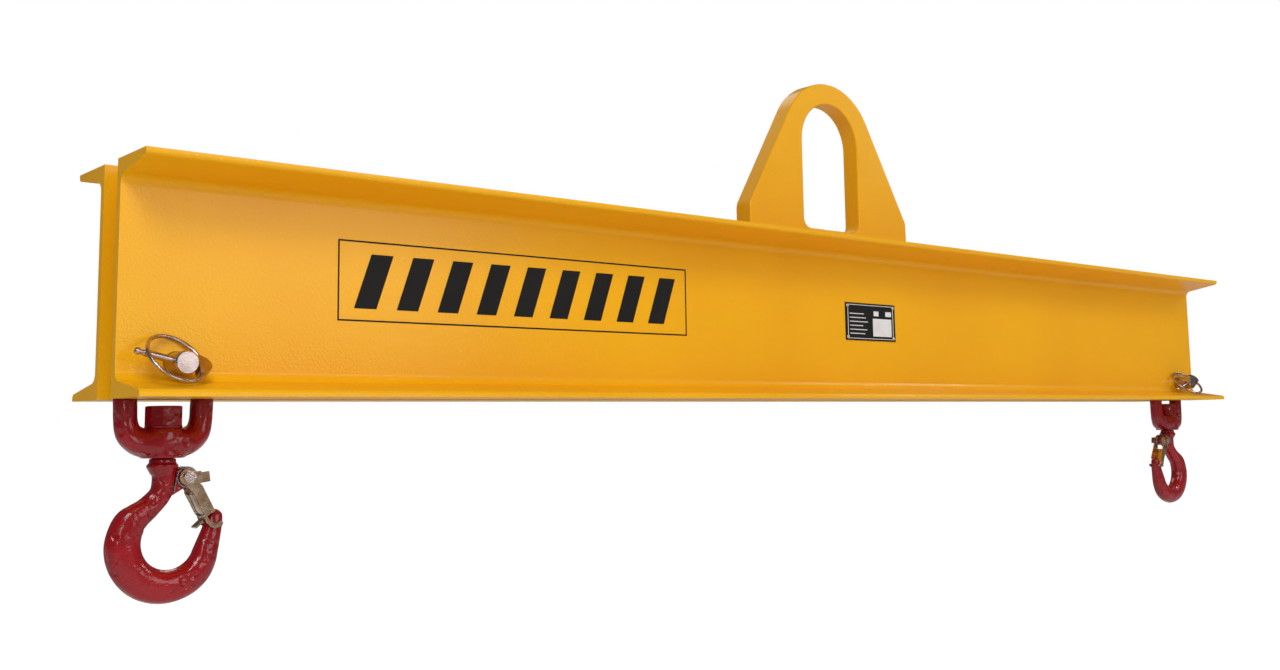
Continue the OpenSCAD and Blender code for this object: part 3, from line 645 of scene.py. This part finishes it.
# ---- Hooks --------------------------------------------------------------------------------------
# Drop-forged alloy hook: thick at the bowl's back, with a neck collar, a lug
# for the latch, and its shank turned for the nut. The forging keeps a faint
# parting line.
SHANK_DROP = 79.9  # from the clevis pin's axis down to the top of the hook, in mm
LATCH_PIVOT = (19.5, -16.6)  # the latch bolt's axis in the hook's own XZ plane, in mm


def bowl_stations():
    """Stations whose inner faces lie on the bowl's circle, every 15 degrees from the back round to the throat;
    thickness and depth run smoothly through the forging's own values."""
    known = np.array([[152, 27, 22], [180, 30.4, 23.5], [225, 30.6, 24],
                      [270, 28.6, 23], [315, 26, 21], [344, 21.2, 18.5]])
    deg = np.linspace(152, 344, 14)
    thick, deep = (np.interp(deg, known[:, 0], known[:, k]) for k in (1, 2))
    thick, deep = (np.convolve(np.pad(v, 1, "edge"), [0.25, 0.5, 0.25], "valid") for v in (thick, deep))
    r, a = 23.4 + thick / 2, np.radians(deg)
    return np.stack([6.5 + r * np.cos(a), -71.3 + r * np.sin(a), thick, deep], -1)


def hook_shell():
    """The hook as a sweep in the XZ plane, millimetres from under the bow: smooth through its stations, each a
    superellipse of its own thickness and depth, with a raised line 0.35 mm high in the forging's plane."""
    neck = np.array([[0.8, -3, 19.5, 19.5], [0.8, -8, 19.5, 19.5], [0.8, -20, 18.6, 19], [-1.6, -31, 18.8, 19],
                     [-12, -42, 20.5, 20], [-20.4, -48.4, 23.6, 21.0]])
    tip = np.array([[44.9, -62.0, 17.0, 14.8], [46.6, -52.5, 15, 12.6], [46.5, -49.3, 12.6, 11.2],
                    [46.3, -47.0, 8.6, 8.0], [46.1, -45.7, 4.0, 4.0]])
    stations = np.concatenate([neck, bowl_stations(), tip])
    s = smooth_path(stations, 10)
    tangent = np.gradient(s[:, :2], axis=0)
    tangent /= np.linalg.norm(tangent, axis=1)[:, None]
    normal = np.stack([tangent[:, 1], -tangent[:, 0]], -1)
    f = np.linspace(0, 2 * math.pi, 64, endpoint=False)[None, :]
    c, w = rounded(f, 0.9)
    ridge = 0.35 * np.exp(-(w / 0.05) ** 2)
    u = (s[:, 2:3] / 2 - 0.35) * c + ridge * np.sign(c)
    points = np.stack([s[:, :1] + u * normal[:, :1], s[:, 3:4] / 2 * w, s[:, 1:2] + u * normal[:, 1:]], -1)
    return closed_grid(points)


def lug_shell(outline, half):
    """A flat lug: its outline in the XZ plane, carried across from -half to half with both rims drawn in."""
    o = np.array(outline, float)
    middle = o.mean(0)
    rows = [(-half, 0.90), (-half * 0.8, 1.0), (half * 0.8, 1.0), (half, 0.90)]
    points = np.stack([np.stack([*(middle + k * (o - middle)).T[:1], np.full(len(o), y),
                                 (middle + k * (o - middle))[:, 1]], -1) for y, k in rows])
    return closed_grid(points)


for name, side in SIDES:
    pivot = np.array(LATCH_PIVOT)
    lug = [pivot + p for p in ([0, 7.5], [-14, 8], [-18, -4], [-15, -18.5], [-13.2, -16.8],
                               [-2.7, -10.7], [3.8, -6.4], [7.0, -2.5], [7.4, 1.8], [4.6, 5.8])]
    boss_co, boss_faces = revolve_shell([6.9, 7.4, 7.4, 6.9], [-7.3, -6.9, 6.9, 7.3])
    boss_co = np.stack([boss_co[:, 0] + pivot[0], boss_co[:, 2], boss_co[:, 1] + pivot[1]], -1)
    co, faces = gather([
        hook_shell(), lug_shell(lug, 3.25), (boss_co, boss_faces),
        revolve_shell([9.6, 13.1, 13.1, 11, 11], [-14, -7.6, -6.0, -4, -0.4]),
        revolve_shell([7.95, 7.95, 7.2], [-6, 42.0, 43.0])])
    hook = new_piece("hook_forging_" + name, placed(co, name, side, SHANK_DROP), faces)
    face_outwards(hook)
    remeshed(hook, 0.75 * MM, 5)
    stand_for(hook, "hook_" + name, "hook_" + name, red)

# ---- Latches ---------------------------------------------------------------------------------------
# Pressed from 2 mm sheet, zinc plated with a yellow chromate, and turning on a
# bolt; a double torsion spring of round wire holds it against the hook's tip.
chromate = finish_of("yellow_chromate", (0.78, 0.56, 0.38), (0.46, 0.28, 0.17), (0.20, 0.11, 0.06),
                     110.0, 300.0, 0.4, 700.0, 0.12, 0.8, 0.16, 0.25, metallic=1.0)


def spring_path(s):
    """Half of the torsion spring, millimetres from the latch's bolt: up from the neck, round the boss as a helix
    whose angle falls by 555 degrees, and down to the bridge that pushes on the latch."""
    near, far, turns, r = 3.25 + 0.85, 7.7 - 0.85, np.linspace(0, 1, 60), 8.4
    a = np.radians(180 - 555 * turns)
    coil = np.stack([r * np.cos(a), s * (near + (far - near) * turns), r * np.sin(a)], -1)
    foot = np.array([[-10.4, s * near, -12.5], [-9.4, s * near, -6.0]])
    reach = np.array([[5.6, s * far, -8.0], [3.35, s * far, -13.4], [3.7, s * far, -15.0],
                      [8.6, s * far, -23.9], [14, s * far, -33.4]])
    return np.concatenate([foot, coil[2:-1], reach])


for name, side in SIDES:
    soft_stand("latch_" + name, 0.45 * MM, 2, "latch_" + name, chromate)
    for part in ("latch_bolt_", "latch_nut_"):
        soft_stand(part + name, 0.4 * MM, 2, "hook_" + name, zinc)
    path = np.concatenate([spring_path(1), spring_path(-1)[::-1]]) + [LATCH_PIVOT[0], 0, LATCH_PIVOT[1]]
    coil_line = placed(smooth_path(path, 3), name, side, SHANK_DROP)
    spring = wire_piece("torsion_spring_" + name, coil_line, 0.64 * MM, (0, 1, 0), 10)
    spring.data.materials.append(spring_grey)
    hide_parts("latch_spring_" + name)
    start, end = (placed([[LATCH_PIVOT[0] + x, 0, LATCH_PIVOT[1] + z]], name, side, SHANK_DROP)[0]
                  for x, z in ((3.0, -5.0), (6.5, -12.0)))
    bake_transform(spring)

# ---- Floor ----------------------------------------------------------------------------------
# A plain pale sheet, well below the hooks.
reach, floor_z = 30, -1.15
floor = new_piece("floor", [(x * reach, y * reach, floor_z) for x, y in ((-1, -1), (1, -1), (1, 1), (-1, 1))],
                  [(0, 1, 2, 3)], False)
pale = bpy.data.materials.new("pale_floor")
pale.use_nodes = True
pale.node_tree.nodes["Principled BSDF"].inputs["Base Color"].default_value = (0.92, 0.92, 0.92, 1.0)
pale.node_tree.nodes["Principled BSDF"].inputs["Roughness"].default_value = 0.9
pale.node_tree.nodes["Principled BSDF"].inputs["Emission Color"].default_value = (1.0, 1.0, 1.0, 1.0)
glow = Sheet(pale.node_tree)
sight = glow.add("ShaderNodeLightPath")
amount = glow.add("ShaderNodeMapRange")
amount.inputs["To Min"].default_value, amount.inputs["To Max"].default_value = 0.10, 0.85
glow.join(sight.outputs["Is Camera Ray"], amount.inputs["Value"])
glow.join(amount.outputs["Result"], pale.node_tree.nodes["Principled BSDF"].inputs["Emission Strength"])
floor.data.materials.append(pale)
